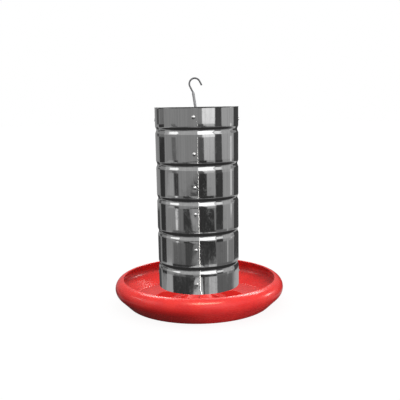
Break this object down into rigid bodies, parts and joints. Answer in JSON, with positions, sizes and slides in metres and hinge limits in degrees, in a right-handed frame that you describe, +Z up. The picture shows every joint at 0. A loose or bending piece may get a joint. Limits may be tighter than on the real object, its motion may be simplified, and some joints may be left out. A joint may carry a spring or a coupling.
{
  "type": "gravity poultry feeder",
  "caption": "Hanging gravity feeder: a grooved sheet-metal hopper tube on a hooked rod over a round plastic pan with a bulging lip, from which poultry eat.",
  "frame": {"origin": "middle of the pan's underside, where the feeder stands on the ground", "axes": "+Z up along the hanger rod; the lapped and riveted seam of the hopper faces -Y; the hook opens towards +X"},
  "size_m": [0.4, 0.4, 0.5245],
  "materials": {
    "red_plastic": "glossy moulded red plastic, lightly scuffed",
    "galvanised_sheet": "bright galvanised sheet, smooth and mirror-like, with faint rolling marks",
    "rod_steel": "drawn and zinc plated, slightly dull",
    "bar_steel": "dull galvanised strip",
    "rivet_steel": "bright domed rivet",
    "zinc_fastener": "bright zinc plate"
  },
  "bodies": {
    "feeder_base": {"feed_pan": "red_plastic", "hanger_rod": "rod_steel", "upper_pan_washer": "zinc_fastener", "upper_pan_nut": "zinc_fastener", "lower_pan_washer": "zinc_fastener", "lower_pan_nut": "zinc_fastener"},
    "height_pin": {"height_pin": "zinc_fastener"},
    "support_washer": {"support_washer": "zinc_fastener"},
    "hopper": {"hopper_tube": "galvanised_sheet", "top_crossbar": "bar_steel", "lower_crossbar": "bar_steel", "seam_rivet_1": "rivet_steel", "seam_rivet_2": "rivet_steel", "seam_rivet_3": "rivet_steel", "seam_rivet_4": "rivet_steel", "seam_rivet_5": "rivet_steel", "seam_rivet_6": "rivet_steel", "top_bar_rivet_left": "rivet_steel", "top_bar_rivet_right": "rivet_steel", "lower_bar_rivet_left": "rivet_steel", "lower_bar_rivet_right": "rivet_steel"}
  },
  "joints": [
    {"name": "hopper_lift", "type": "slide", "parent": "feeder_base", "child": "support_washer", "axis": [0, 0, 1], "range_m": [0, 0.025]},
    {"name": "hopper_turn", "type": "hinge", "parent": "support_washer", "child": "hopper", "pos_m": [0, 0, 0.419], "axis": [0, 0, 1], "continuous": true},
    {"name": "height_pin_pull", "type": "slide", "parent": "feeder_base", "child": "height_pin", "axis": [0, -1, 0], "range_m": [0, 0.03]}
  ]
}
